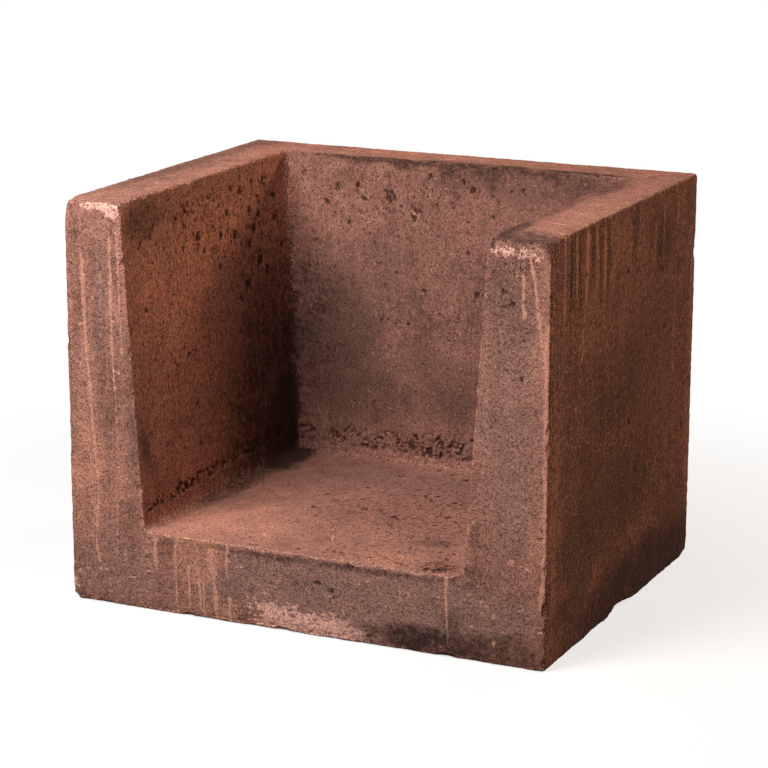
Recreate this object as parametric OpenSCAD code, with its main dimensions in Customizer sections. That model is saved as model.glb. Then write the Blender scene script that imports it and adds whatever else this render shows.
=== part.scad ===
// Corner U-element of dry-cast concrete: a U-shaped channel closed by one end wall.
// X runs across the open face, Y from the open face to the end wall, Z upwards.
// The origin is the centre of the underside.

/* [Block] */
// Width across the open face
element_width = 500; // [400:5:800]
// Depth from the open face to the outside of the end wall
element_depth = 400; // [300:5:600]
// Height from the underside to the rim
element_height = 400; // [250:5:600]

/* [Walls and floor] */
// Thickness of each side wall at the rim
side_wall_rim = 62; // [40:1:100]
// Thickness of each side wall where it meets the floor
side_wall_foot = 83; // [45:1:120]
// Thickness of the end wall at the rim
end_wall_rim = 53; // [40:1:100]
// Thickness of the end wall where it meets the floor
end_wall_foot = 71; // [45:1:120]
// Thickness of the floor slab
floor_thickness = 80; // [50:1:120]

/* [Edges] */
// Radius of the upright outer edges
upright_radius = 3; // [1:0.5:8]
// Radius of the outer edge round the rim, at the sides and the end wall
rim_outer_radius = 3; // [1:0.5:8]
// Radius of the inner edge of the rim along the side walls
side_rim_radius = 3; // [1:0.5:8]
// Radius of the inner edge of the rim along the end wall
end_rim_radius = 5; // [1:0.5:8]
// Radius over the top of each side wall at the open face
nose_radius = 8; // [2:0.5:16]
// Radius of the front edge of the floor
floor_edge_radius = 5; // [2:0.5:12]
// Radius round the underside
underside_radius = 5; // [2:0.5:12]
// Fillet where the floor meets the side walls
side_fillet = 7; // [2:0.5:16]
// Fillet where the floor meets the end wall
end_fillet = 5; // [2:0.5:16]

/* [Hidden] */
$fn = 96;
clearance_cut = 1; // how far a cutting shape stands past the face that it cuts
half_width = element_width / 2;
half_depth = element_depth / 2;
half_cavity_rim = half_width - side_wall_rim;
half_cavity_floor = half_width - side_wall_foot;
end_face_rim = half_depth - end_wall_rim;
end_face_floor = half_depth - end_wall_foot;

// Outlines: corners run anticlockwise, and each corner has the radius of the same index.
outline_plan = [
    [-half_width, -half_depth],
    [half_width, -half_depth],
    [half_width, half_depth],
    [-half_width, half_depth]
];
radii_plan = [for (corner = outline_plan) upright_radius];

outline_across = [
    [-half_width, 0],
    [half_width, 0],
    [half_width, element_height],
    [-half_width, element_height]
];
radii_across = [underside_radius, underside_radius, rim_outer_radius, rim_outer_radius];

outline_along = [
    [-half_depth, 0],
    [half_depth, 0],
    [half_depth, element_height],
    [-half_depth, element_height]
];
radii_along = [underside_radius, underside_radius, rim_outer_radius, nose_radius];

outline_channel = [
    [-half_width, 0],
    [half_width, 0],
    [half_width, element_height],
    [half_cavity_rim, element_height],
    [half_cavity_floor, floor_thickness],
    [-half_cavity_floor, floor_thickness],
    [-half_cavity_rim, element_height],
    [-half_width, element_height]
];
radii_channel = [0, 0, 0, side_rim_radius, side_fillet, side_fillet, side_rim_radius, 0];

outline_end = [
    [-half_depth, 0],
    [half_depth, 0],
    [half_depth, element_height],
    [end_face_rim, element_height],
    [end_face_floor, floor_thickness],
    [-half_depth, floor_thickness]
];
radii_end = [0, 0, 0, end_rim_radius, end_fillet, 0];

function unit(v) = v / norm(v);
function turns_left(a, b, c) = cross(b - a, c - b) > 0;

// The region between a corner and the arc that rounds it.
module corner_web(before, corner, after, radius) {
    to_before = unit(before - corner);
    to_after = unit(after - corner);
    half_angle = acos(to_before * to_after) / 2;
    centre = corner + unit(to_before + to_after) * radius / sin(half_angle);
    tangent = radius / tan(half_angle);
    touch_before = corner + to_before * tangent;
    touch_after = corner + to_after * tangent;
    difference() {
        polygon([
            centre,
            touch_before + unit(touch_before - centre) * clearance_cut,
            corner + unit(corner - centre) * 2 * clearance_cut,
            touch_after + unit(touch_after - centre) * clearance_cut
        ]);
        translate(centre) circle(r = radius);
    }
}

// An outline whose outward corners are rounded off and whose inward corners are filleted.
module eased_outline(corners, radii) {
    count = len(corners);
    difference() {
        union() {
            polygon(corners);
            for (i = [0 : count - 1])
                if (radii[i] > 0
                    && !turns_left(corners[(i + count - 1) % count], corners[i], corners[(i + 1) % count]))
                    corner_web(corners[(i + count - 1) % count], corners[i],
                        corners[(i + 1) % count], radii[i]);
        }
        for (i = [0 : count - 1])
            if (radii[i] > 0
                && turns_left(corners[(i + count - 1) % count], corners[i], corners[(i + 1) % count]))
                corner_web(corners[(i + count - 1) % count], corners[i],
                    corners[(i + 1) % count], radii[i]);
    }
}

// A prism along Y whose section lies in X and Z.
module prism_along_depth(length) {
    translate([0, length / 2, 0]) rotate([90, 0, 0]) linear_extrude(length) children();
}

// A prism along X whose section lies in Y and Z.
module prism_along_width(length) {
    translate([-length / 2, 0, 0]) rotate([90, 0, 90]) linear_extrude(length) children();
}

// The full block, with its outer edges rounded.
module block() {
    intersection() {
        linear_extrude(element_height) eased_outline(outline_plan, radii_plan);
        prism_along_depth(element_depth) eased_outline(outline_across, radii_across);
        prism_along_width(element_width) eased_outline(outline_along, radii_along);
    }
}

// The floor and both side walls.
module channel() {
    prism_along_depth(element_depth) eased_outline(outline_channel, radii_channel);
}

// The floor and the end wall that closes the channel.
module closed_end() {
    prism_along_width(element_width) eased_outline(outline_end, radii_end);
}

// The round that is taken off the front edge of the floor, between the two side fillets.
module floor_edge_round() {
    prism_along_width(2 * (half_cavity_floor - side_fillet))
        corner_web([end_face_floor, floor_thickness], [-half_depth, floor_thickness],
            [-half_depth, 0], floor_edge_radius);
}

module corner_u_element() {
    color("#8f5f4e") difference() {
        intersection() {
            block();
            union() {
                channel();
                closed_end();
            }
        }
        floor_edge_round();
    }
}

corner_u_element();
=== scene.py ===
"""Looks of the corner U-element: one block of weathered, red-brown, dry-cast concrete.

Lengths are millimetres, and metres only in the studio at the end. X runs across the open face,
Y from the open face to the end wall, and Z upwards from the underside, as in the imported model.
"""

from math import cos, radians, sin
from typing import NamedTuple

import bpy
import numpy as np
from mathutils import Euler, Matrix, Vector, noise


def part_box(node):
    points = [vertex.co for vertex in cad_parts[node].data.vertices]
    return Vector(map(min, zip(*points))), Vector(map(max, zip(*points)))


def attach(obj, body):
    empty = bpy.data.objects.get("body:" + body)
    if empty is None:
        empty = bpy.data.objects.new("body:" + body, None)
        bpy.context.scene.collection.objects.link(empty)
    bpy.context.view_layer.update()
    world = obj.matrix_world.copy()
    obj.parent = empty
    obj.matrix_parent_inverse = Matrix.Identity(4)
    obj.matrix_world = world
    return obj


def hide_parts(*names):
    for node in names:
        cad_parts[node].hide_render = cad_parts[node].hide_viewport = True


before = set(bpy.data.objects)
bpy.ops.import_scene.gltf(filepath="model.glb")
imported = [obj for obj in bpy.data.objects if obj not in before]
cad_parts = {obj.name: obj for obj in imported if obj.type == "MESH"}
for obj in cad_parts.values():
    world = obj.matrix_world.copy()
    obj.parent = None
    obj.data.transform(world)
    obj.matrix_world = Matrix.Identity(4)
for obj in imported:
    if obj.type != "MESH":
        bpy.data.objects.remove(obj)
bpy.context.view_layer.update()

# ---------------------------------------------------------------- sizes of the cast block
MM = 0.001  # metres in one millimetre
BLOCK = "corner_u_element"
_, high_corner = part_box(BLOCK)
HALF_WIDTH = high_corner.x / MM
HALF_DEPTH = high_corner.y / MM
HEIGHT = high_corner.z / MM
SIDE_WALL_RIM = 62
SIDE_WALL_FOOT = 83
END_WALL_RIM = 53
END_WALL_FOOT = 71
FLOOR_TOP = 80

EDGE_RADIUS = 3.0  # outward edges where they are sound
NOSE_RADIUS = 8.0  # top of the two side walls at the open face
ARRIS_RADIUS = 1.8  # upright edges of the trough at the open face
UNDERSIDE_RADIUS = 5.0
SIDE_FILLET = 7.0  # floor to side walls
END_FILLET = 5.0  # floor to end wall
CORNER_FILLET = 2.0  # side walls to end wall

WAVE_DEPTH = 0.8  # slow waves left by the mould
GRIT_DEPTH = 0.25
EDGE_GRIT_DEPTH = 0.5  # what the grit gains beside the edges
EDGE_GRIT_REACH = 14
RAGGED_FOOT_DEPTH = 1.6
RAGGED_FOOT_HEIGHT = 9
VOID_DEPTH = 0.3  # share of the void's radius
CRUMB_HEIGHT = 1.35  # share of the crumb's radius
LIP_HEIGHT = 1.3  # how far the lip of paste along the foot of the end wall stands proud
LIP_LEVEL = 87
LIP_HALF = 4

# The crumbly band above the floor: broad on the end wall and a thin line on the side walls.
BAND_FOOT = 86
BAND_TOP = 106  # at the left end of the end wall
BAND_RISE = 16  # of its top, towards the right end
LINE_LEVEL = 101  # near the open face
LINE_SLOPE = 0.03  # upwards to the end wall
LINE_HALF = 5.5
BAND_CEILING = 136  # the mesh is refined for it below this level alone
CRUMBLY_DEPTH = 0.5  # all over the band
PEBBLE_GAP_DEPTH = 3.0  # what it gains between its pebbles
PEBBLE = 4.2  # across

VOID_SPACING = 2.1  # of the mesh in voids and in the crumbly band
RUN_SPACING = 1.7  # the least; on a wide run it is half the width
CRUMB_SPACING = 1.2
EDGE_BAND = 5.5  # width beside each outward edge that gets the face's edge spacing

X, Y, Z = range(3)


class Face(NamedTuple):
    """What sets one face of the block apart."""
    axes: tuple  # of its marks' places: across it, and up it or, on a level face, towards the end wall
    spacing: float  # length of the mesh's edges on a plain stretch
    edge_spacing: float  # and beside its outward edges
    # On the right face the darker tone is painted shade.
    tone: float  # how much lighter or darker the mix looks
    streak: float  # how much the rain has drawn it out downwards
    mottle: float  # how mottled the mould has left it
    grain: float  # how much the sand shows


FACES = {  # in the order of the planes below
    "left": Face((Y, Z), 22.0, 5.5, -0.3, 0.7, 1.0, 0.9),
    # The right face's dark tone is painted shade: that side faces away from the key lamp.
    "right": Face((Y, Z), 10.0, 3.6, -0.75, 1.1, 1.95, 1.4),
    "front": Face((X, Z), 9.5, 3.6, 0.2, 0.45, 0.3, 0.8),
    "back": Face((X, Z), 22.0, 5.5, -0.4, 0.7, 1.0, 0.9),
    "underside": Face((X, Y), 40.0, 5.5, -0.5, 0.0, 0.3, 0.5),
    "rim": Face((X, Y), 10.0, 3.6, 0.2, 0.0, 0.7, 0.72),
    "floor": Face((X, Y), 13.0, 3.6, 0.38, 0.0, 0.5, 0.72),
    "left wall": Face((Y, Z), 12.0, 3.6, 0.22, 0.5, 1.15, 1.0),
    "right wall": Face((Y, Z), 22.0, 5.5, -0.4, 0.5, 0.8, 0.7),
    "end wall": Face((X, Z), 12.5, 3.6, -0.5, 0.5, 0.5, 0.68),
}

# ---------------------------------------------------------------- marks of casting and weather, and painted light and shade
# Voids left by trapped air, on each face: across, up, radius.
VOIDS = {
    "left wall": [
        (-75, 373, 5), (-95, 367, 4.5), (-80, 358, 5), (-55, 341, 5), (-62, 346, 3), (-147, 360, 3),
        (-165, 355, 3), (40, 372, 5), (65, 378, 4), (92, 377, 6), (10, 355, 4), (-5, 335, 5),
        (25, 330, 7), (65, 331, 6), (76, 342, 5), (110, 358, 4), (115, 335, 6), (75, 296, 8),
        (125, 304, 5), (90, 283, 6), (-115, 286, 3), (55, 316, 5), (-20, 346, 3), (-15, 372, 3),
        (57, 350, 4), (-178, 326, 3), (-43, 325, 3), (12, 275, 4), (45, 276, 5), (22, 231, 4),
    ],
    "end wall": [
        (-166, 378, 5), (-104, 368, 4), (-68, 357, 7), (-33, 348, 4), (27, 373, 4), (-138, 348, 3),
        (-95, 355, 3), (48, 368, 3), (-20, 384, 3), (-126, 366, 3), (50, 347, 3), (112, 372, 3),
    ],
    "floor": [
        (-64, -8, 3.5), (-47, -21, 3), (-57, -54, 3), (-42, -81, 3), (-24, -7, 3), (-37, 31, 3.5),
        (-12, 54, 2.5), (30, 27, 3.5), (41, 31, 3), (43, 12, 2.5), (64, 6, 3), (5, 119, 3),
        (23, 109, 3.5), (44, 97, 3.5), (31, -53, 4.5), (38, -76, 2.5), (80, -33, 3), (91, -42, 2.5),
        (78, -49, 2.5), (98, -8, 2.5), (86, -136, 3.5), (116, -136, 3), (131, -136, 3.5),
        (132, -154, 5), (138, -184, 6.5), (126, -187, 4.5), (-68, -169, 4), (-8, -185, 3),
    ],
    "front": [
        (222, 273, 4), (218, 270, 3), (206, 352, 3), (212, 340, 3), (224, 308, 2.5), (20, 52, 4),
        (34, 48, 4), (8, 50, 3),
    ],
    "right": [(108, 260, 4), (10, 186, 3), (-70, 330, 3), (95, 320, 4)],
}
# More small ones: face, how many, and the stretch across and up that they are strewn over.
STREWN_VOIDS = [
    ("left", 12, -190, 190, 20, 390), ("right", 16, -190, 190, 20, 390), ("back", 16, -240, 240, 20, 390),
    ("left wall", 40, -190, 140, 270, 392), ("left wall", 10, -190, 60, 120, 270),
    ("right wall", 16, -190, 130, 120, 390), ("end wall", 34, -175, 170, 130, 392),
    ("floor", 24, -60, 160, -190, 100),
]
STREWN_VOID_RADIUS = (1.4, 3.2)

# Loose crumbs of concrete stuck to the floor: across, towards the end wall, radius.
CRUMBS = [
    (-150, -126, 1.9), (-60, -66, 1.3), (-62, -134, 1.5), (-56, -162, 2.3), (-70, -166, 1.5),
    (6, -139, 1.7), (9, -147, 1.5), (-4, -119, 1.3), (-36, -152, 1.2), (-30, -100, 1.2), (52, -92, 1.3),
    (80, -150, 1.3), (104, -172, 1.5),
]

# Pale runs where rain has washed lime and pigment down, on each face: across, top, length, width,
# drift, strength.
RUNS = {
    "front": [
        (-232, 352, 310, 4.6, 15, 1.1), (-201, 366, 150, 4.0, 3, 1.1), (-198, 230, 90, 3.6, 3, 0.7),
        (-193, 372, 120, 4.2, 5, 0.9), (-215, 372, 50, 4.0, 1, 0.6), (-211, 330, 100, 3.6, 1, 0.5),
        (-208, 26, 20, 4.0, 0, 0.8), (-197, 102, 50, 3.6, 0, 0.7), (-188, 60, 36, 4.0, 0, 0.6),
        (-155, 74, 27, 4.6, 0, 1.4), (-133, 72, 68, 3.4, 0, 1.1), (-119, 50, 40, 3.8, 0, 1.3),
        (-109, 50, 42, 4.2, 3, 1.3), (-103, 48, 44, 3.6, 0, 1.0), (-94, 70, 66, 6.2, 5, 1.3),
        (-77, 78, 34, 4.4, 0, 1.1), (-75, 24, 22, 4.4, 0, 1.3), (151, 82, 40, 3.4, 1, 1.5),
        (152, 44, 30, 2.4, 1, 1.0), (222, 367, 38, 4.4, 2, 1.4), (229, 390, 86, 4.6, 13, 1.2),
        (246, 322, 262, 7.6, 0, 1.15), (-244, 300, 130, 6.0, 0, 0.5), (171, 128, 5, 4.4, 0, 1.4),
        (214, 101, 2, 6.4, 0, 1.2), (199, 50, 7, 3.6, 0, 1.1), (199, 22, 2, 5.8, 0, 1.2),
        (193, 76, 2, 5.0, 0, 0.9),
    ],
    "right": [
        (-166, 399, 76, 8.0, 0, 0.95), (-156, 399, 60, 6.0, 1, 0.6), (-146, 394, 46, 6.0, 0, 0.5),
        (-137, 399, 62, 8.0, 1, 0.95), (-124, 393, 40, 6.0, 0, 0.5), (-109, 393, 60, 9.0, -3, 1.1),
        (-113, 345, 74, 6.0, -6, 0.9), (-87, 395, 50, 7.0, 6, 0.85), (-64, 397, 62, 7.0, 0, 0.95),
        (-48, 397, 26, 6.0, 0, 0.6), (-30, 395, 34, 6.0, 0, 0.6), (-16, 397, 24, 6.0, 0, 0.6),
        (5, 397, 36, 6.0, 0, 0.5), (34, 397, 22, 6.0, 0, 0.5), (62, 397, 26, 6.0, 0, 0.5),
        (100, 391, 62, 6.0, 0, 0.65), (143, 386, 190, 7.0, -8, 0.65), (157, 392, 50, 6.0, 0, 0.5),
        (-193, 384, 150, 7.0, 0, 0.6), (-176, 330, 80, 6.0, -2, 0.5), (-182, 398, 40, 6.0, 0, 0.5),
    ],
}
PLAIN_RUNS = 9  # strewn on each of the faces below
PLAIN_RUN_REACH = {"left": 190, "back": 240}  # how far from the middle they lie at most
PLAIN_RUN_LENGTH = (18, 168)  # most are short
PLAIN_RUN = {"top": (386, 399), "width": (5, 9), "drift": (-3, 3), "strength": (0.3, 0.7)}

PATCH_WANDER = 9  # how far the outlines of the broad marks wander
FREE_SIZE = 22  # a mark with a smaller half width or height wanders less
# The broad marks, on each face: across, up, half width, half height, strength. Each kind is a layer
# of the material.
PATCHES = {
    # lighter salmon where the skin is thin, darker purple-brown where it is dense
    "tone": {
        "front": [
            (-218, 385, 34, 16, 0.1), (-238, 320, 7, 75, -0.6), (-213, 305, 9, 75, -0.65),
            (-195, 345, 4, 38, -0.7), (-204, 200, 11, 60, -0.45), (-179, 190, 8, 95, -0.7),
            (-232, 210, 14, 70, 0.4), (-230, 110, 22, 60, 0.4), (40, 40, 180, 48, -0.2),
            (-180, 30, 60, 36, -0.1), (25, 50, 32, 9, -0.5), (110, 57, 6, 4, 0.7),
            (208, 345, 26, 62, -1.0), (215, 190, 30, 90, -0.1), (178, 130, 5, 70, -0.6),
            (236, 120, 10, 90, 0.3), (190, 50, 60, 50, -0.6), (60, 3, 170, 4, 0.5),
        ],
        "right": [
            (90, 345, 12, 30, -1.4), (112, 348, 9, 24, -1.2), (150, 318, 14, 6, -1.2),
            (-151, 360, 5, 40, -1.6), (-97, 370, 6, 36, -1.6), (-56, 362, 6, 40, -1.3),
            (-128, 350, 5, 30, -1.5), (-75, 350, 6, 44, -1.3), (20, 370, 9, 30, -1.0),
            (-20, 235, 60, 44, -0.5), (-120, 100, 60, 40, -0.8), (30, 110, 50, 30, -0.6),
            (130, 165, 60, 100, 0.3), (-60, 330, 150, 60, 0.35), (0, 180, 180, 60, -0.2),
            (60, 120, 150, 50, -0.35), (60, 190, 80, 30, 0.2), (-182, 130, 16, 90, 0.7),
            (190, 200, 10, 190, 0.8),
        ],
        "left wall": [
            # The three broad lighter patches are partly a lighter mix and partly painted light, where the
            # lamps reach this wall.
            (-110, 315, 75, 50, 0.6), (-105, 210, 60, 70, 0.45), (40, 345, 120, 44, 0.85),
            (-80, 180, 13, 20, -0.5), (-185, 330, 16, 60, -0.4), (-115, 165, 30, 12, -0.4),
            (20, 250, 60, 50, -0.1), (-150, 110, 50, 25, -0.2),
        ],
        "end wall": [
            (-125, 352, 70, 36, 0.4), (10, 330, 90, 40, 0.25), (-115, 190, 22, 14, -0.6),
            (-72, 168, 22, 14, -0.6), (-15, 268, 30, 28, 0.3), (10, 205, 30, 10, 0.35),
            (20, 150, 40, 22, -0.5), (-90, 140, 60, 30, -0.4),
            (-40, 84, 120, 4, 0.5), (120, 108, 52, 20, -0.7),
        ],
        "floor": [
            (-100, -140, 70, 70, 0.5), (0, 90, 170, 60, -0.35), (101, -114, 17, 14, -1.0),
            (70, -178, 62, 16, 0.6), (110, -60, 40, 60, -0.1),
        ],
        "rim": [
            (-202, 0, 14, 190, 0.3), (-238, 20, 12, 170, -0.4), (-236, 165, 16, 26, -0.7),
            (0, 185, 220, 14, 0.4), (232, 0, 18, 165, 0.25), (222, -182, 34, 20, -1.4),
            (-236, 132, 8, 6, -0.6),
        ],
    },
    # dark patches: soaked-in damp and algae, painted shade in the trough's shaded corners, and a darker
    # band along the end wall's top inner edge
    "damp_and_shade": {
        "front": [
            (30, 73, 150, 4, 0.75), (-142, 66, 13, 12, 0.5), (132, 11, 78, 16, 0.92),
            (154, 34, 14, 16, 0.55), (194, 8, 80, 24, 0.72), (126, 15, 40, 7, 0.95),
            (165, 74, 20, 7, 0.5), (191, 395, 5, 6, 0.8), (244, 396, 8, 6, 0.7), (220, 397, 26, 4, 0.5),
        ],
        "rim": [
            # The patches at y 147 to 152 darken the rim along the end wall's top inner edge.
            (199, -190, 16, 10, 0.8), (226, -194, 30, 6, 0.6), (-150, 147, 50, 3, 0.8),
            (-70, 148, 50, 4, 0.9), (10, 150, 60, 6, 0.9), (70, 152, 26, 9, 0.9),
            (140, 150, 60, 6, 0.9), (199, 80, 13, 66, 0.7), (195, -40, 11, 90, 0.66),
            (195, -150, 11, 56, 0.9), (-226, 178, 26, 18, 0.4), (240, 178, 12, 14, 0.4),
        ],
        "right": [(70, 14, 250, 50, 0.92), (-140, 45, 60, 16, 0.6), (150, 56, 80, 40, 0.35)],
        # The two broad patches at the rear of the left wall are painted shade, darkest low down at the
        # back.
        "left wall": [(150, 130, 210, 180, 0.95), (150, 90, 120, 110, 1.4), (-60, 150, 30, 34, 0.3)],
        "end wall": [
            # The patches near the top, from z 384 up, darken the end wall along its top inner edge.
            (-30, 398, 150, 5, 0.8), (0, 390, 14, 10, 0.6), (44, 388, 20, 14, 0.6),
            (-52, 394, 18, 8, 0.6), (140, 384, 40, 20, 0.4), (-100, 396, 20, 6, 0.6),
            # The patch at -165, 200 is painted shade in the end wall's corner beside the left wall.
            (90, 397, 60, 7, 0.7), (-165, 200, 30, 130, 0.5), (125, 104, 52, 20, 0.7),
        ],
        # These are painted shade: in the back-left corner, along the foot of the left wall and along the
        # foot of the end wall.
        "floor": [(-163, 96, 28, 66, 1.15), (-162, -10, 20, 110, 0.75), (-70, 124, 110, 8, 0.3)],
        "right wall": [(0, 110, 160, 40, 0.5)],
    },
    # grey weathered film
    "film": {
        "front": [
            (60, 45, 210, 42, 1.0), (-200, 40, 60, 50, 0.5), (212, 230, 36, 170, 0.6),
            (-213, 305, 9, 75, 0.5), (-179, 190, 8, 95, 0.4),
        ],
        "floor": [(0, 60, 160, 70, 0.4)],
        "left wall": [(0, 340, 230, 90, 0.4), (-150, 190, 90, 110, 0.3)],
        "end wall": [(100, 105, 90, 22, 0.7)],
    },
    # olive-brown moss, dried out
    "moss": {
        "end wall": [
            (-120, 200, 60, 90, 0.85), (-20, 165, 120, 50, 0.5), (130, 130, 50, 40, 0.4),
            (70, 384, 110, 24, 0.6), (-40, 280, 60, 60, 0.4),
        ],
        "right": [(70, 240, 110, 90, 0.5), (-60, 120, 110, 60, 0.5), (110, 350, 30, 40, 0.7)],
        "rim": [(-236, 0, 14, 180, 0.5), (120, 180, 120, 20, 0.3)],
        "left wall": [(-158, 376, 44, 20, 0.8)],
    },
    # rust-brown wash under the floor's front edge
    "rust": {
        "front": [(-108, 63, 28, 17, 1.3), (-110, 42, 24, 14, 0.7), (-130, 66, 6, 14, 1.2)],
    },
    # pale pink lime bloom
    "bloom": {
        "front": [
            (-2, 16, 58, 12, 0.95), (42, 8, 56, 9, 1.0), (-30, 6, 26, 5, 0.7), (217, 390, 27, 6, 0.8),
            (238, 386, 8, 8, 0.5), (-212, 395, 20, 5, 1.1), (-195, 391, 9, 8, 1.2),
            (-246, 14, 6, 14, 0.6), (196, 388, 8, 6, 0.5),
        ],
    },
    # open skin with more pores
    "pitted": {
        "front": [
            (-218, 372, 40, 36, 0.7), (204, 345, 30, 62, 0.8), (20, 48, 60, 14, 0.5),
            (217, 389, 30, 9, 1.2),
        ],
        "left wall": [
            (0, 345, 200, 60, 1.3), (-158, 374, 50, 24, 1.2), (-100, 230, 100, 130, 1.0),
            (-60, 98, 150, 6, 1.3), (90, 300, 80, 80, 1.4),
        ],
        "end wall": [
            (-60, 350, 130, 44, 0.95), (0, 250, 170, 100, 0.6), (40, 102, 130, 17, 1.1),
            (110, 106, 60, 22, 1.4), (-110, 104, 30, 12, 1.0), (-146, 230, 30, 110, 1.15),
        ],
        "floor": [(60, -20, 130, 170, 1.3), (60, -180, 74, 18, 1.5), (132, -178, 24, 20, 1.9)],
        "right": [(0, 200, 220, 200, 0.8)],
        "right wall": [(0, 260, 180, 130, 0.5)],
        "left": [(0, 200, 220, 200, 0.35)],
        "back": [(0, 200, 260, 200, 0.35)],
        "rim": [(212, -182, 40, 16, 0.8)],
    },
    # bluish soot
    "cool": {
        "left wall": [
            (-186, 158, 10, 24, 0.7), (-174, 136, 14, 9, 0.6), (-165, 118, 14, 10, 0.5),
            (-20, 322, 14, 8, 0.6),
        ],
        "end wall": [(-140, 250, 30, 60, 0.35), (-60, 250, 40, 30, 0.3)],
        "right": [(-110, 60, 30, 16, 0.5)],
    },
}

# Breaks in the edges: x, y, z of the place on the edge, how far the break reaches and how deep it goes.
CHIPS = [
    (-250, -200, 400, 14, 3.5), (188, -200, 400, 8, 4.0), (250, -200, 400, 6, 2.0),
    (-250, -200, 0, 16, 5.0), (-250, -200, 262, 6, 2.2), (-250, -200, 358, 5, 1.6),
    (250, 200, 0, 16, 6.5), (250, -8, 0, 22, 6.0), (250, 13, 0, 15, 6.5), (250, -26, 0, 8, 3.0),
    (250, 3, 0, 6, 5.0), (250, 29, 0, 9, 3.0), (250, 190, 0, 8, 4.0), (250, 200, 330, 14, 1.7),
    (250, 196, 318, 7, 1.7), (167, -200, 80, 10, 3.0), (-172, -200, 120, 6, 0.9),
    (-180, -200, 255, 5, 0.8), (-186, -200, 340, 5, 0.9), (-188, -90, 400, 6, 1.4),
    (60, -200, 80, 14, 2.0), (-40, -200, 80, 12, 1.6), (120, -200, 80, 9, 1.8),
    (178, -200, 250, 6, 1.6), (250, -200, 210, 8, 1.6), (250, -200, 60, 9, 2.4), (250, -200, 0, 7, 1.6),
    (-20, -200, 0, 14, 2.6), (150, -200, 0, 16, 2.4), (-120, -200, 0, 10, 2.2), (-250, 200, 0, 14, 4.5),
    (-250, 200, 400, 8, 3.0), (250, 200, 400, 7, 2.0), (20, 147, 400, 5, 1.0), (110, 147, 400, 4, 0.9),
]
NICKS = 110  # smaller breaks strewn along the edges below
NICK_REACH = (2.5, 8)
NICK_DEPTH = (0.08, 0.22)  # share of its reach
# Pairs of sharp_block's corners: all outward edges but the rounded tops at the open face.
NICKED_EDGES = [
    (0, 4), (1, 5), (2, 6), (3, 7), (0, 1), (1, 2), (0, 3), (3, 2), (4, 7), (5, 6), (7, 6),
    (8, 11), (9, 10), (11, 10), (12, 13), (12, 8), (13, 9),
]

# The mesh carries these layers for the material: the kinds of patches, and what the relief leaves.
LAYERS = [*PATCHES, "run", "void", "crumb", "wear", "streak", "mottle", "bedding", "grain"]


# ---------------------------------------------------------------- distances from the block's planes
def block_planes(points):
    """Distances outwards from the six outer planes, one row a plane in the order of FACES."""
    x, y, z = points.T
    return np.stack([-HALF_WIDTH - x, x - HALF_WIDTH, -HALF_DEPTH - y, y - HALF_DEPTH, -z, z - HEIGHT])


def trough_planes(points):
    """Distances into the trough from its floor and three walls, one row a plane in the order of FACES."""
    x, y, z = points.T
    rise = (z - FLOOR_TOP) / (HEIGHT - FLOOR_TOP)
    side_face = HALF_WIDTH - SIDE_WALL_FOOT + (SIDE_WALL_FOOT - SIDE_WALL_RIM) * rise
    end_face = HALF_DEPTH - END_WALL_FOOT + (END_WALL_FOOT - END_WALL_RIM) * rise
    return np.stack([z - FLOOR_TOP, x + side_face, side_face - x, end_face - y])


def rounded(a, b, radius):
    """Distance from a solid bounded by two faces whose outward edge is rounded."""
    past_both = np.hypot(np.maximum(a + radius, 0), np.maximum(b + radius, 0))
    return np.minimum(np.maximum(a, b), -radius) + past_both


def filleted(a, b, radius):
    """Distance from a solid made of two parts whose inward corner is filleted."""
    short_of_both = np.hypot(np.maximum(radius - a, 0), np.maximum(radius - b, 0))
    return np.maximum(np.minimum(a, b), radius) - short_of_both


def to_surface(points, radius, breaks=()):
    """Distance from the concrete, negative inside.

    The radius is that of the outward edges. Breaks are spheres cut from them: centre and radius.
    """
    left, right, front, back, under, rim = block_planes(points)
    floor, left_wall, right_wall, end_wall = trough_planes(points)
    plan = rounded(np.maximum(left, right), np.maximum(front, back), radius)
    block = rounded(rounded(plan, rim, radius), under, radius)
    walls = filleted(filleted(left_wall, end_wall, CORNER_FILLET), right_wall, CORNER_FILLET)
    side_floor = filleted(filleted(floor, left_wall, SIDE_FILLET), right_wall, SIDE_FILLET)
    around = np.minimum(walls, filleted(side_floor, end_wall, END_FILLET))
    distance = rounded(block, around, radius)
    for centre, reach in breaks:
        distance = np.maximum(distance, reach - np.linalg.norm(points - centre, axis=1))
    return distance


def outward(points, radius, breaks=()):
    """The distance to_surface and its gradient, which points straight out of the concrete."""
    step = 0.05
    here = to_surface(points, radius, breaks)
    slopes = [to_surface(points + step * axis, radius, breaks) - here for axis in np.eye(3)]
    return here, np.stack(slopes, axis=1) / step


def noise_at(points, size, seed=0, octaves=1):
    """Noise of about -1 to 1 in lumps of the given size, the same at each run."""
    fade, finer, apart = 0.9, 2.1, 31.7  # from octave to octave, and from seed to seed
    places = (points / size + apart * seed).tolist()
    return np.array([noise.fractal(place, fade, finer, octaves) for place in places])


def smooth(value, start, end):
    """0 before start, 1 after end and an even rise between. Start may be the larger one."""
    share = np.clip((value - start) / (end - start), 0, 1)
    return share * share * (3 - 2 * share)


# ---------------------------------------------------------------- the mesh
def face_of(points):
    """For points on the sharp-edged block: their face's index, and how far they lie from an edge."""
    block = block_planes(points)
    trough = trough_planes(points)
    nearest_outer = np.sort(-block, axis=0)
    nearest_inner = np.sort(trough, axis=0)
    in_trough = np.abs(nearest_inner[0]) < nearest_outer[0] + 1e-6
    face = np.where(in_trough, len(block) + trough.argmin(axis=0), block.argmax(axis=0))
    outer_edge = np.minimum(nearest_outer[1], np.abs(nearest_inner[0]))
    return face, np.where(in_trough, nearest_outer[0], outer_edge)


def on_face(points, name, weights):
    """The two coordinates of points along a face, and how much each point belongs to it."""
    across, up = FACES[name].axes
    return points[:, across], points[:, up], weights[name]


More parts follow.
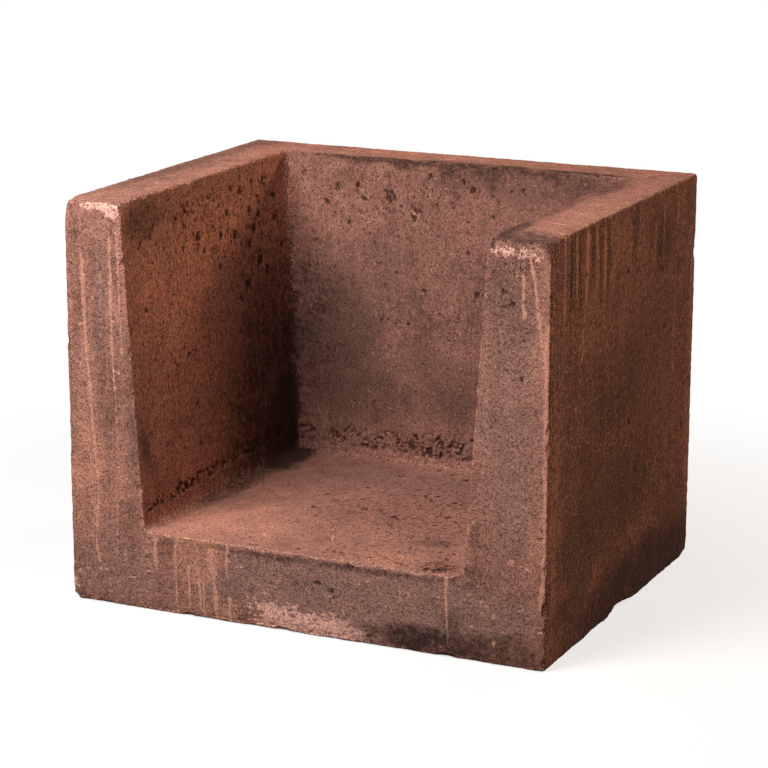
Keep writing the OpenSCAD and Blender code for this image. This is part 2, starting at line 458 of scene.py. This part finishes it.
def coarse_band(points):
    """How much each point lies in the crumbly band above the floor, where paste was short.

    It is broad on the end wall and a thin broken line on the side walls. 0 is outside it.
    """
    x, y, z = points.T
    along = points * (1, 1, 0)
    wander = noise_at(along, 28, seed=3, octaves=2)
    patchy = noise_at(along, 42, seed=4)
    _, left_wall, right_wall, end_wall = np.abs(trough_planes(points))

    rightward = smooth(x, -150, 150)
    top = BAND_TOP + BAND_RISE * rightward + 9 * wander
    end_band = smooth(z, top + 3, top - 4) * smooth(z, BAND_FOOT, BAND_FOOT + 4)
    end_band *= smooth(patchy + 0.8 * rightward, -0.5, -0.2)
    end_band *= smooth(end_wall, 6, 2) * smooth(np.abs(x), 172, 164)

    line = LINE_LEVEL + 5 * wander + LINE_SLOPE * (y + 180)
    half = LINE_HALF + 3 * patchy
    side_band = smooth(np.abs(z - line), half + 1.5, half - 1.5)
    side_band *= smooth(patchy, -0.7, -0.45)
    side_band *= smooth(np.minimum(left_wall, right_wall), 6, 2) * smooth(y, 115, 90)
    side_band *= smooth(y, -HALF_DEPTH + 4, -HALF_DEPTH + 14)
    return np.maximum(end_band, side_band)


def mark_spacings(points, lies_on, voids, runs):
    """Where each mark lies, with a little more all round, and the spacing that it asks for."""
    for name, marks in voids.items():
        u, v, here = on_face(points, name, lies_on)
        for across, up, radius in marks:
            yield here & (np.hypot(u - across, v - up) < 1.25 * radius + 1), VOID_SPACING
    for name, marks in runs.items():
        u, v, here = on_face(points, name, lies_on)
        for across, top, length, width, drift, _ in marks:
            middle = across + drift * np.clip((top - v) / length, 0, 1)
            close = here & (np.abs(u - middle) < width) & (v < top + 4) & (v > top - length - 4)
            yield close, max(RUN_SPACING, 0.5 * width)
    u, v, here = on_face(points, "floor", lies_on)
    for across, back, radius in CRUMBS:
        yield here & (np.hypot(u - across, v - back) < radius + 1), CRUMB_SPACING


def spacing_at(points, voids, runs):
    """How long the mesh's edges may be at each point, which lies on the sharp-edged block."""
    face, to_edge = face_of(points)
    lies_on = {name: face == index for index, name in enumerate(FACES)}
    plain, beside = np.array([(kind.spacing, kind.edge_spacing) for kind in FACES.values()])[face].T
    spacing = np.where(to_edge < EDGE_BAND, np.minimum(plain, beside), plain)
    for close, most in mark_spacings(points, lies_on, voids, runs):
        spacing = np.where(close, np.minimum(spacing, most), spacing)
    low = lies_on["left wall"] | lies_on["right wall"] | lies_on["end wall"]
    low &= points[:, Z] < BAND_CEILING
    if low.any():
        crumbly = np.zeros(len(points), bool)
        crumbly[low] = coarse_band(points[low]) > 0.02
        spacing = np.where(crumbly, VOID_SPACING, spacing)
    return spacing


def sharp_block():
    """Corners and triangles of the block with sharp edges."""
    rings = [
        (HALF_WIDTH, HALF_DEPTH, 0),
        (HALF_WIDTH, HALF_DEPTH, HEIGHT),
        (HALF_WIDTH - SIDE_WALL_RIM, HALF_DEPTH - END_WALL_RIM, HEIGHT),
        (HALF_WIDTH - SIDE_WALL_FOOT, HALF_DEPTH - END_WALL_FOOT, FLOOR_TOP),
    ]
    corners = []
    for side, end, height in rings:
        for x, y in ((-side, -HALF_DEPTH), (side, -HALF_DEPTH), (side, end), (-side, end)):
            corners.append((x, y, height))
    quads = [
        (0, 3, 2, 1), (2, 3, 7, 6), (3, 0, 4, 7), (1, 2, 6, 5), (0, 1, 13, 12), (0, 12, 8, 4),
        (13, 1, 5, 9), (4, 8, 11, 7), (9, 5, 6, 10), (11, 10, 6, 7), (12, 13, 14, 15),
        (12, 15, 11, 8), (14, 13, 9, 10), (15, 14, 10, 11),
    ]
    triangles = [triangle for a, b, c, d in quads for triangle in ((a, b, c), (a, c, d))]
    return np.array(corners, float), np.array(triangles)


def edges_of(points, triangles):
    """The first and second ends of all edges, and the indexes of each triangle's three edges."""
    ends = np.sort(np.stack([triangles, np.roll(triangles, -1, axis=1)], axis=-1), axis=-1)
    keys, edge_of = np.unique(ends[..., 0] * len(points) + ends[..., 1], return_inverse=True)
    return points[keys // len(points)], points[keys % len(points)], edge_of.reshape(-1, 3)


def bisected(triangles, edge_of, start, middle_of):
    """The triangles cut into two, three or four at the middles of their split edges.

    Each triangle's longest edge starts at its corner number start. The new point on each edge is
    middle_of, which is -1 where the edge isn't split.
    """
    order = (start[:, None] + np.arange(3)) % 3
    a, b, c = np.take_along_axis(triangles, order, axis=1).T
    ab, bc, ca = middle_of[np.take_along_axis(edge_of, order, axis=1)].T
    cut = ab >= 0
    parts = [
        (~cut, (a, b, c)),
        (cut & (ca < 0), (a, ab, c)), (cut & (ca >= 0), (a, ab, ca)), (cut & (ca >= 0), (ca, ab, c)),
        (cut & (bc < 0), (ab, b, c)), (cut & (bc >= 0), (ab, b, bc)), (cut & (bc >= 0), (ab, bc, c)),
    ]
    return np.vstack([np.stack(corners, axis=1)[chosen] for chosen, corners in parts])


def refined(points, triangles, spacing):
    """Halves triangles across their longest edge until all edges are short enough.

    An edge may be as long as the spacing at its middle.
    """
    while True:
        first, second, edge_of = edges_of(points, triangles)
        lengths = np.linalg.norm(second - first, axis=1)
        middles = (first + second) / 2
        split = lengths > spacing(middles)
        if not split.any():
            return points, triangles

        # A triangle with any split edge has its longest one split too.
        start = lengths[edge_of].argmax(axis=1)
        longest = np.take_along_axis(edge_of, start[:, None], axis=1)[:, 0]
        count = 0
        while count != split.sum():
            count = split.sum()
            split[longest[split[edge_of].any(axis=1)]] = True
        middle_of = np.full(len(split), -1)
        middle_of[split] = len(points) + np.arange(count)
        points = np.vstack([points, middles[split]])
        triangles = bisected(triangles, edge_of, start, middle_of)


def edge_radius_at(points):
    """The radius of the outward edges near each point. It wanders, and differs from edge to edge."""
    x, y, z = points.T
    at_nose = smooth(z, HEIGHT - 20, HEIGHT - 12) * smooth(y, -HALF_DEPTH + 20, -HALF_DEPTH + 12)
    at_foot = smooth(z, 16, 9)
    at_arris = smooth(y, -HALF_DEPTH + 14, -HALF_DEPTH + 8)
    at_arris *= smooth(np.abs(x), HALF_WIDTH - 30, HALF_WIDTH - 45)
    at_arris *= smooth(z, FLOOR_TOP + 6, FLOOR_TOP + 16)
    radius = EDGE_RADIUS + (NOSE_RADIUS - EDGE_RADIUS) * at_nose
    radius += (UNDERSIDE_RADIUS - EDGE_RADIUS) * at_foot
    radius += (ARRIS_RADIUS - EDGE_RADIUS) * at_arris
    wander = noise_at(points, 30, seed=1, octaves=2)
    waver = noise_at(points, 7, seed=2)
    return radius * (1 + 0.35 * wander + 0.25 * waver)


def edge_breaks(random):
    """The chips and the strewn nicks, as spheres that are cut from the block: centre and radius."""
    corners, _ = sharp_block()
    edges = corners[NICKED_EDGES]
    lengths = np.linalg.norm(edges[:, 1] - edges[:, 0], axis=1)
    chosen = random.choice(len(edges), NICKS, p=lengths / lengths.sum())
    share = random.uniform(0.02, 0.98, (NICKS, 1))
    nicks = edges[chosen, 0] * (1 - share) + edges[chosen, 1] * share
    nick_reaches = random.uniform(*NICK_REACH, NICKS)
    nick_depths = nick_reaches * random.uniform(*NICK_DEPTH, NICKS)

    chips = np.array(CHIPS, float)
    places = np.vstack([chips[:, :3], nicks])
    reaches = np.concatenate([chips[:, 3], nick_reaches])
    round_off = 0.41 * EDGE_RADIUS  # how far the rounded edge lies back from the sharp one
    depths = np.concatenate([chips[:, 4], nick_depths]) + round_off
    _, away = outward(places, EDGE_RADIUS)
    away /= np.linalg.norm(away, axis=1, keepdims=True)
    radii = (reaches ** 2 + depths ** 2) / (2 * depths)
    return list(zip(places + away * (radii - depths)[:, None], radii))


def voids_and_runs(random):
    """All voids and runs, by face: those listed and those strewn."""
    voids = {name: list(VOIDS.get(name, ())) for name in FACES}
    for name, count, start, end, low, high in STREWN_VOIDS:
        for _ in range(count):
            radius = random.uniform(*STREWN_VOID_RADIUS)
            voids[name].append((random.uniform(start, end), random.uniform(low, high), radius))
    runs = {name: list(RUNS.get(name, ())) for name in FACES}
    shortest, longest = PLAIN_RUN_LENGTH
    for name, reach in PLAIN_RUN_REACH.items():
        for _ in range(PLAIN_RUNS):
            length = shortest + (longest - shortest) * random.random() ** 2.5
            across = random.uniform(-reach, reach)
            top, width, drift, strength = [random.uniform(*span) for span in PLAIN_RUN.values()]
            runs[name].append((across, top, length, width, drift, strength))
    return voids, runs


def bare_block(voids, runs, breaks):
    """Points, outward normals and triangles of the block, rounded and chipped but without relief."""
    points, triangles = refined(*sharp_block(), lambda places: spacing_at(places, voids, runs))
    radius = edge_radius_at(points)
    for _ in range(4):  # steps onto the surface, each closer than the last
        here, away = outward(points, radius, breaks)
        steepness = np.maximum((away ** 2).sum(axis=1), 0.25)  # near 0 a step would be wild
        points = points - away * (here / steepness)[:, None]
    _, normals = outward(points, radius, breaks)
    return points, normals / np.linalg.norm(normals, axis=1, keepdims=True), triangles


# ---------------------------------------------------------------- relief and layers
def face_weights(points, normals):
    """How much each point belongs to each face, by where it lies and which way it looks."""
    x, y, z = points.T
    look_x, look_y, look_z = normals.T
    margin = 4
    in_trough = np.abs(x) < HALF_WIDTH - SIDE_WALL_RIM + margin
    in_trough &= (y < HALF_DEPTH - END_WALL_RIM + margin) & (z > FLOOR_TOP - 2 * margin)
    facing = {
        "left": (-look_x, ~in_trough), "right": (look_x, ~in_trough),
        "front": (-look_y, y < 0), "back": (look_y, ~in_trough), "underside": (-look_z, z < FLOOR_TOP / 2),
        "rim": (look_z, z > HEIGHT / 2), "floor": (look_z, z < HEIGHT / 2),
        "left wall": (look_x, in_trough), "right wall": (-look_x, in_trough),
        "end wall": (-look_y, (y > 0) & in_trough),
    }
    turned, square = 0.35, 0.75  # looking this much its way, a point begins to belong to it, and does
    return {name: smooth(look, turned, square) * place for name, (look, place) in facing.items()}


def by_face(quality, weights):
    """One of the values of Face at each point, mixed where faces meet."""
    return sum(getattr(face, quality) * weights[name] for name, face in FACES.items())


def beside_edge(points):
    """How far points on the surface lie from the nearest outward edge."""
    block = np.sort(-block_planes(points), axis=0)
    trough = trough_planes(points).min(axis=0)
    on_outer = block[0] < np.abs(trough)
    return np.where(on_outer, np.minimum(block[1], np.abs(trough)), block[0])


def void_field(points, weights, voids):
    """1 in the middle of each void and 0 beyond its ragged side, and the radius of the void."""
    ragged = 1 + 0.9 * noise_at(points, 4.5, seed=5, octaves=2)
    field = np.zeros(len(points))
    size = np.zeros(len(points))
    for name, marks in voids.items():
        u, v, here = on_face(points, name, weights)
        for across, up, radius in marks:
            reach = 1.8 * radius  # its ragged side ends here at the latest
            close = (here > 0.2) & (np.abs(u - across) < reach) & (np.abs(v - up) < reach)
            apart = np.hypot(u[close] - across, v[close] - up) * ragged[close] / (0.85 * radius)
            mark = smooth(apart, 1.5, 0.1)
            size[close] = np.where(mark > field[close], radius, size[close])
            field[close] = np.maximum(field[close], mark)
    return field, size


def crumbly_hollows(points):
    """How deep the crumbly band is hollowed out, above all between its pebbles."""
    crumbly = coarse_band(points)
    chosen = crumbly > 0
    pebbles = np.zeros(len(points))
    pebbles[chosen] = [noise.voronoi(place)[0][0] for place in (points[chosen] / PEBBLE).tolist()]
    crumbly *= 0.4 + 0.6 * smooth(noise_at(points, 13, seed=14, octaves=2), -0.35, 0.25)
    return crumbly * (CRUMBLY_DEPTH + PEBBLE_GAP_DEPTH * smooth(pebbles, 0.35, 0.8))


def crumb_height(points, weights):
    """How far the surface stands proud of the floor in the crumbs."""
    u, v, here = on_face(points, "floor", weights)
    lumpy = 1 + 0.5 * noise_at(points, 1.8, seed=17)
    height = np.zeros(len(points))
    for across, back, radius in CRUMBS:
        apart = np.hypot(u - across, v - back) * lumpy / radius
        height = np.maximum(height, here * CRUMB_HEIGHT * radius * smooth(apart, 1.2, 0.3))
    return height


def relief_depth(points, weights, pits, crumbs):
    """How far the weathered skin lies under the bare block's."""
    waves = 0.5 + 0.5 * noise_at(points, 85, seed=12, octaves=2)
    grit = 0.5 + 0.5 * noise_at(points, 6, seed=13, octaves=2)
    near_edge = smooth(beside_edge(points), EDGE_GRIT_REACH, EDGE_RADIUS)
    grit_depth = GRIT_DEPTH + EDGE_GRIT_DEPTH * near_edge
    at_foot = smooth(points[:, Z], RAGGED_FOOT_HEIGHT, 1) * (1 - weights["underside"])
    ragged_foot = at_foot * (0.5 + 0.5 * noise_at(points, 9, seed=15, octaves=3))
    lip = LIP_HEIGHT * weights["end wall"] * smooth(np.abs(points[:, Z] - LIP_LEVEL), LIP_HALF, 1)
    depth = WAVE_DEPTH * waves + grit_depth * grit + RAGGED_FOOT_DEPTH * ragged_foot
    depth = depth + pits - crumbs - lip
    return depth * (1 - 0.9 * weights["underside"])  # the underside stays nearly flat


def run_field(points, weights, runs):
    """A run's strength in its middle, 0 at its side and below 0 beyond it.

    Runs sway on their way down and end in a rounded tip.
    """
    sway = noise_at(points * (0.02, 0.02, 1) + (7, 3, 0), 55, seed=6, octaves=2)
    wriggle = noise_at(points * (0.05, 0.05, 1), 11, seed=18)
    swell = noise_at(points * (0.05, 0.05, 1), 14, seed=7, octaves=2)
    field = np.full(len(points), -2.0)
    for name, marks in runs.items():
        u, v, here = on_face(points, name, weights)
        for across, top, length, width, drift, strength in marks:
            down = np.clip((top - v) / length, 0, 1)
            middle = across + drift * down + (0.8 + 0.008 * length) * sway + 0.7 * wriggle
            half = width / 2 * (1.15 + 0.7 * swell) * (1 - 0.3 * down)
            past_end = np.maximum(np.maximum(v - top, top - length - v), 0)
            apart = np.hypot(u - middle, past_end)
            field = np.where(here > 0.3, np.maximum(field, strength - apart / half), field)
    return field


def patch_field(points, bent, weights, kind):
    """One layer of broad marks. They add up in the tone, and elsewhere the strongest one shows."""
    gathered = np.add if kind == "tone" else np.maximum
    field = np.zeros(len(points))
    for name, marks in PATCHES[kind].items():
        u, v, here = on_face(points, name, weights)
        bent_u, bent_v, _ = on_face(bent, name, weights)
        for across, up, half_across, half_up, strength in marks:
            bend = min(1.0, min(half_across, half_up) / FREE_SIZE)
            aside = (u * (1 - bend) + bent_u * bend - across) / half_across
            above = (v * (1 - bend) + bent_v * bend - up) / half_up
            field = gathered(field, strength * here * smooth(np.hypot(aside, above), 1.35, 0.45))
    return field


def material_layers(points, weights, runs, open_skin, hollows, crumbs):
    """The values of LAYERS at each point."""
    swing = np.stack([noise_at(points, 34, seed=8 + axis, octaves=2) for axis in (X, Y, Z)], axis=1)
    bent = points + PATCH_WANDER * swing
    layers = {kind: patch_field(points, bent, weights, kind) for kind in PATCHES}
    layers["tone"] += by_face("tone", weights)
    layers["run"] = run_field(points, weights, runs)
    # The void layer is painted shade: the pore coats darken the voids and the crumbly band's gaps with it.
    gap_shade = 0.75 + 0.7 * weights["left wall"]  # the crumbly band's gaps show darker there
    layers["void"] = np.maximum(open_skin, gap_shade * smooth(hollows, 0.7, 2.6))
    layers["crumb"] = np.clip(crumbs / 1.5, 0, 1)
    layers["wear"] = smooth(beside_edge(points), 5.5, 0.8)
    layers["streak"] = by_face("streak", weights)
    layers["mottle"] = by_face("mottle", weights)
    below_floor = weights["front"] * smooth(points[:, Z], 80, 66)
    layers["bedding"] = 0.35 * below_floor + 0.5 * weights["rim"]
    smeared = np.maximum(smooth(layers["run"], 0.2, 0.6), smooth(layers["bloom"], 0.4, 0.9))
    layers["grain"] = by_face("grain", weights) * (1 - 0.25 * smeared)
    return layers


def placed(name, data):
    """A new object of the scene with this mesh, lamp or camera."""
    made = bpy.data.objects.new(name, data)
    bpy.context.scene.collection.objects.link(made)
    return made


def cast_block(material):
    """The whole block as one mesh, with its relief and the layers that its material reads."""
    random = np.random.default_rng(11)
    voids, runs = voids_and_runs(random)
    points, normals, triangles = bare_block(voids, runs, edge_breaks(random))
    weights = face_weights(points, normals)

    open_skin, void_radius = void_field(points, weights, voids)
    hollows = crumbly_hollows(points)
    crumbs = crumb_height(points, weights)
    pits = np.maximum(VOID_DEPTH * void_radius * open_skin, hollows)
    points = points - normals * relief_depth(points, weights, pits, crumbs)[:, None]
    points = np.clip(points, (-HALF_WIDTH, -HALF_DEPTH, 0), (HALF_WIDTH, HALF_DEPTH, HEIGHT))

    mesh = bpy.data.meshes.new("cast_block")
    mesh.from_pydata((points * MM).tolist(), [], triangles.tolist())
    layers = material_layers(points, weights, runs, open_skin, hollows, crumbs)
    for name in LAYERS:
        layer = mesh.attributes.new(name, "FLOAT", "POINT")
        layer.data.foreach_set("value", layers[name].astype(np.float32))
    mesh.shade_smooth()
    mesh.materials.append(material)
    return placed("cast_block", mesh)


# ---------------------------------------------------------------- materials
def linear(colour):
    """A hex sRGB colour as linear red, green, blue and alpha."""
    shares = [int(colour[place:place + 2], 16) / 255 for place in (1, 3, 5)]
    bent = [share / 12.92 if share <= 0.04045 else ((share + 0.055) / 1.055) ** 2.4 for share in shares]
    return bent + [1.0]


def per(size):
    """The scale of a pattern whose cells or lumps are this many millimetres."""
    return 1 / (size * MM)


def emptied(owner):
    """The node tree of a material or world, with no node in it."""
    owner.use_nodes = True
    owner.node_tree.nodes.clear()
    return owner.node_tree


def add(tree, kind, sockets=(), **settings):
    """Adds a shader node. A socket gets its value, or a link where that is another node's output."""
    made = tree.nodes.new("ShaderNode" + kind)
    for name, value in settings.items():
        setattr(made, name, value)
    for socket, value in dict(sockets).items():
        if isinstance(value, bpy.types.NodeSocket):
            tree.links.new(value, made.inputs[socket])
        else:
            made.inputs[socket].default_value = value
    return made


# The sockets of a Mix node that mixes colours.
SHARE, UNDER, OVER = 0, 6, 7
MIXED = 2

# Patterns in the concrete: the lumps' size in mm, their detail, and the share of it along each axis.
# A small share stretches the lumps. The sand is drawn a little coarser than it is, so that it shows.
PATTERNS = {
    "batches": (95, 3, (1, 1, 1)),
    "tamping": (24, 5, (1, 1, 1)),
    "paste": (5.5, 4, (1, 1, 1)),
    "sand": (1.15, 1, (1, 1, 1)),
    "rain": (6.5, 4, (1, 1, 0.07)),
    "drag": (2.6, 3, (1, 1, 0.42)),
    "beds": (2.8, 4, (0.16, 1, 1)),
    "blots": (6.5, 3, (1, 1, 1)),
    "pores": (2.8, 3, (1, 1, 0.7)),
}
# Patterns that only some faces have: the pattern and the layer that holds it back.
LOCAL_PATTERNS = {
    "rained": ("rain", "streak"),
    "mottled": ("drag", "mottle"),
    "bedded": ("beds", "bedding"),
}
GRAIN = 1.4  # across the larger grains of sand
PASTE = "#432e26"
TONE = {
    "tone": 0.3, "batches": 0.6, "tamping": 0.5, "paste": 0.42, "rained": 0.9, "mottled": 1.0,
    "bedded": 0.9,
}
BLOOM = {"bloom": 1.0, "paste": 3.0, "tamping": 1.4, "bedded": 6.0}
DAMP_AND_SHADE = {"damp_and_shade": 1.0, "tamping": 1.1, "paste": 1.3, "rained": 1.2, "bedded": 1.6}
# Coats over the darkest paste, from the bottom up: the patterns and layers that make it up, the sums
# of them at which it starts and is full, how much it covers then, and its colour.
COATS = {
    # the mix itself, from purple-brown to salmon
    "dense": (TONE, -1.05, -0.3, 1.0, "#6e4d43"),
    "plain": (TONE, -0.42, 0.14, 1.0, "#a06f60"),
    "thin": (TONE, 0.0, 0.5, 1.0, "#ca8b73"),
    # what lies on the paste
    "grey film": ({"film": 1.0, "tamping": 0.6, "paste": 0.6}, 0.1, 0.9, 0.6, "#8e6e65"),
    "rust wash": ({"rust": 1.0, "paste": 1.1, "rained": 1.2}, 0.2, 0.6, 0.85, "#b47c66"),
    "lime bloom": (BLOOM, 0.36, 0.84, 0.95, "#e3ab9a"),
    "worn edge": ({"wear": 1.0, "paste": 1.2, "tamping": 0.8}, 0.5, 1.2, 0.45, "#c08a75"),
    # larger grains of sand, each with a chance of its own to be dark or light
    "dark grain": ({"dark chance": 1.0, "paste": 0.6, "grain": 0.12}, 0.86, 0.98, 0.6, "#46302b"),
    "light grain": ({"light chance": 1.0, "grain": 0.06}, 0.96, 1.03, 0.4, "#cb9683"),
    # soot, moss, damp and painted shade, which soak into all of that
    "soot": ({"cool": 1.0, "tamping": 0.8, "paste": 0.8}, 0.1, 1.1, 0.85, "#3b393b"),
    "moss": ({"moss": 1.0, "tamping": 1.2, "paste": 1.4, "rained": 1.2}, 0.1, 1.1, 0.7, "#523f35"),
    "damp_stain_and_shade": (DAMP_AND_SHADE, 0.1, 1.15, 0.92, "#2a1e1c"),
    # pale runs over the stains
    "run": ({"run": 1.0, "paste": 1.5, "tamping": 0.6, "sand": 1.3}, 0.18, 0.85, 0.78, "#cc917c"),
    # pores of 1 to 7 mm, a little taller than wide, which crowd where the skin is open; their dark colour
    # is painted shade in the holes, and also fills the voids and the crumbly band's gaps
    "wide pore": ({"blots": 1.0, "pitted": 0.07, "void": 0.2}, 0.1, 0.26, 0.6, "#472f28"),
    "pore": ({"pores": 1.0, "tamping": 0.3, "pitted": 0.1, "void": 0.24}, 0.19, 0.31, 0.8, "#33201c"),
    # crumbs, which lie on top
    "loose crumb": ({"crumb": 1.0, "paste": 1.0}, 0.1, 0.7, 0.75, "#cb9c85"),
}
SAND_CONTRAST = 2.8
# Relief too fine for the mesh: the share of the bump's depth for each pattern or coat.
RELIEF = {
    "grain edge": -0.35, "sand": 0.45, "paste": 1.0, "tamping": 1.2, "bedded": 1.6, "pore": -1.5,
}
BUMP_DEPTH = 0.9
BUMP_STRENGTH = 0.75


def concrete_patterns(tree):
    """The outputs that the concrete's coats are made of, by name. A pattern swings about zero."""
    place = add(tree, "TexCoord").outputs["Object"]
    seen = {name: add(tree, "Attribute", attribute_name=name).outputs["Fac"] for name in LAYERS}
    for name, (size, detail, stretch) in PATTERNS.items():
        stretched = add(tree, "Mapping", {"Vector": place, "Scale": stretch}).outputs["Vector"]
        sockets = {"Vector": stretched, "Scale": per(size), "Detail": detail, "Roughness": 0.6}
        lumps = add(tree, "TexNoise", sockets).outputs["Fac"]
        seen[name] = add(tree, "Math", {0: lumps, 1: 0.5}, operation="SUBTRACT").outputs[0]
    for name, (pattern, layer) in LOCAL_PATTERNS.items():
        seen[name] = add(tree, "Math", {0: seen[pattern], 1: seen[layer]}, operation="MULTIPLY").outputs[0]
    grains = add(tree, "TexVoronoi", {"Vector": place, "Scale": per(GRAIN)})
    shade = add(tree, "SeparateColor", {"Color": grains.outputs["Color"]})
    seen["dark chance"] = shade.outputs["Red"]
    seen["light chance"] = shade.outputs["Green"]
    seen["grain edge"] = grains.outputs["Distance"]
    return seen


def blend(tree, seen, shares):
    """The sum of the named outputs, each times its share."""
    total = 0.0
    for name, share in shares.items():
        total = add(tree, "Math", {0: seen[name], 1: share, 2: total}, operation="MULTIPLY_ADD").outputs[0]
    return total


def coated_paste(tree, seen):
    """The colour of the paste under its coats. Each coat's cover joins what is seen, by its name."""
    colour = linear(PASTE)
    for name, (shares, start, full, cover, hue) in COATS.items():
        sockets = {"Value": blend(tree, seen, shares), "From Min": start, "From Max": full, "To Max": cover}
        seen[name] = add(tree, "MapRange", sockets, interpolation_type="SMOOTHSTEP").outputs["Result"]
        sockets = {SHARE: seen[name], UNDER: colour, OVER: linear(hue)}
        colour = add(tree, "Mix", sockets, data_type="RGBA").outputs[MIXED]
    return colour


def sanded(tree, seen, colour):
    """The colour with salt and pepper of sand over it, stronger where the paste has washed off."""
    swing = add(tree, "Math", {0: seen["sand"], 1: seen["grain"]}, operation="MULTIPLY").outputs[0]
    swing = add(tree, "Math", {0: swing, 1: SAND_CONTRAST, 2: 1.0}, operation="MULTIPLY_ADD").outputs[0]
    grey = add(tree, "CombineColor", {"Red": swing, "Green": swing, "Blue": swing}).outputs["Color"]
    sockets = {SHARE: 1.0, UNDER: colour, OVER: grey}
    return add(tree, "Mix", sockets, data_type="RGBA", blend_type="MULTIPLY").outputs[MIXED]


def dry_cast_concrete():
    """Dry-cast pigmented concrete: a stiff, earth-damp mix, tamped in a mould and bared at once.

    It gives the eye a matt, sandy, open-pored skin of salmon paste and purple-brown patches, with
    dark and light sand grains, pale runs, damp stains, painted shade and lime bloom. Nothing on it is
    glossy.
    """
    material = bpy.data.materials.new("dry_cast_concrete")
    tree = emptied(material)
    seen = concrete_patterns(tree)
    colour = sanded(tree, seen, coated_paste(tree, seen))
    height = blend(tree, seen, RELIEF)
    bump = add(tree, "Bump", {"Strength": BUMP_STRENGTH, "Distance": BUMP_DEPTH * MM, "Height": height})
    # Damp concrete is a little less matt, and so is the painted shade in the same coat.
    matt = add(tree, "MapRange", {"Value": seen["damp_stain_and_shade"], "To Min": 0.95, "To Max": 0.85})
    sockets = {
        "Base Color": colour,
        "Roughness": matt.outputs["Result"],
        "Specular IOR Level": 0.05,
        "Normal": bump.outputs["Normal"],
    }
    shader = add(tree, "BsdfPrincipled", sockets)
    add(tree, "OutputMaterial", {"Surface": shader.outputs["BSDF"]})
    return material


def seen_directly(tree):
    """1 for rays from the camera, off gloss and through glass, and 0 for rays that light things."""
    ray = add(tree, "LightPath").outputs
    seen = ray["Is Camera Ray"]
    for other in ("Is Glossy Ray", "Is Transmission Ray"):
        seen = add(tree, "Math", {0: seen, 1: ray[other]}, operation="MAXIMUM").outputs[0]
    return seen


def studio_paper():
    """Matt white studio paper: it shows white, and a lamp's shadow greys it near the block."""
    material = bpy.data.materials.new("studio_paper")
    tree = emptied(material)
    seen = seen_directly(tree)
    place = add(tree, "TexCoord").outputs["Object"]
    apart = add(tree, "VectorMath", {0: place}, operation="LENGTH").outputs["Value"]
    sockets = {"Value": apart, "From Min": 0.3, "From Max": 0.8, "To Min": 0.72, "To Max": 1.0}
    whiteness = add(tree, "MapRange", sockets).outputs["Result"]
    share = add(tree, "Math", {0: seen, 1: whiteness}, operation="MULTIPLY")
    sockets = {SHARE: seen, UNDER: linear("#636363"), OVER: linear("#ffffff")}
    tint = add(tree, "Mix", sockets, data_type="RGBA")
    paper = add(tree, "BsdfDiffuse", {"Color": tint.outputs[MIXED]})
    white = add(tree, "Emission", {"Color": linear("#ffffff"), "Strength": 1.0})
    both = add(tree, "MixShader", {0: share.outputs[0], 1: paper.outputs[0], 2: white.outputs[0]})
    add(tree, "OutputMaterial", {"Surface": both.outputs[0]})
    return material


# ---------------------------------------------------------------- stage, lamps and camera, in metres
PAPER_HALF = 6.0
PAPER_DROP = 0.0002  # keeps the paper clear of the underside
BLOCK_MIDDLE = Vector((0, 0, 0.2))
AIM = Vector((-0.0043, -0.0020, 0.1993))  # of the camera


def studio_floor():
    """A plain white floor under the block."""
    corners = [(PAPER_HALF * x, PAPER_HALF * y, 0) for x, y in ((-1, -1), (1, -1), (1, 1), (-1, 1))]
    mesh = bpy.data.meshes.new("studio_floor")
    mesh.from_pydata(corners, [], [(0, 1, 2, 3)])
    mesh.materials.append(studio_paper())
    floor = placed("studio_floor", mesh)
    floor.location.z = -PAPER_DROP


def aimed(thing, azimuth, elevation, distance, target, roll=0.0):
    """Puts a lamp or camera at a distance from its target and turns it towards that."""
    across, up = radians(azimuth), radians(elevation)
    back = Vector((sin(across) * cos(up), -cos(across) * cos(up), sin(up)))
    thing.location = target + back * distance
    turn = (-back).to_track_quat("-Z", "Y").to_matrix() @ Euler((0, 0, radians(roll))).to_matrix()
    thing.rotation_euler = turn.to_euler()


def lamp(name, azimuth, elevation, distance, size, power, colour):
    """A soft box that looks at the middle of the block."""
    light = bpy.data.lights.new(name, "AREA")
    light.shape = "DISK"
    light.size = size
    light.energy = power
    light.color = linear(colour)[:3]
    aimed(placed(name, light), azimuth, elevation, distance, BLOCK_MIDDLE)


def sky():
    """Even, weak light from all round, and white behind the block."""
    world = bpy.data.worlds.new("studio")
    tree = emptied(world)
    fill = add(tree, "Background", {"Color": linear("#fff6ee"), "Strength": 0.035})
    white = add(tree, "Background", {"Color": linear("#ffffff"), "Strength": 1.0})
    both = add(tree, "MixShader", {0: seen_directly(tree), 1: fill.outputs[0], 2: white.outputs[0]})
    add(tree, "OutputWorld", {"Surface": both.outputs[0]})
    bpy.context.scene.world = world


def camera():
    """A long lens, a little above the rim and to the right of the open face."""
    lens = bpy.data.cameras.new("camera")
    lens.sensor_width = 36
    lens.lens = 127.36
    made = placed("camera", lens)
    aimed(made, azimuth=24.9, elevation=14.21, distance=2.705, target=AIM, roll=0.16)
    bpy.context.scene.camera = made


camera()
sky()
studio_floor()
lamp("key", azimuth=-20, elevation=45, distance=1.5, size=0.8, power=29, colour="#ffffff")
lamp("warm_fill", azimuth=58, elevation=12, distance=2.4, size=1.7, power=12, colour="#ffdfbd")
lamp("warm_back", azimuth=150, elevation=29, distance=2.4, size=0.5, power=28, colour="#ffd2a6")
bpy.context.scene.view_settings.view_transform = "Standard"

block = cast_block(dry_cast_concrete())
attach(block, "root")
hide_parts(BLOCK)
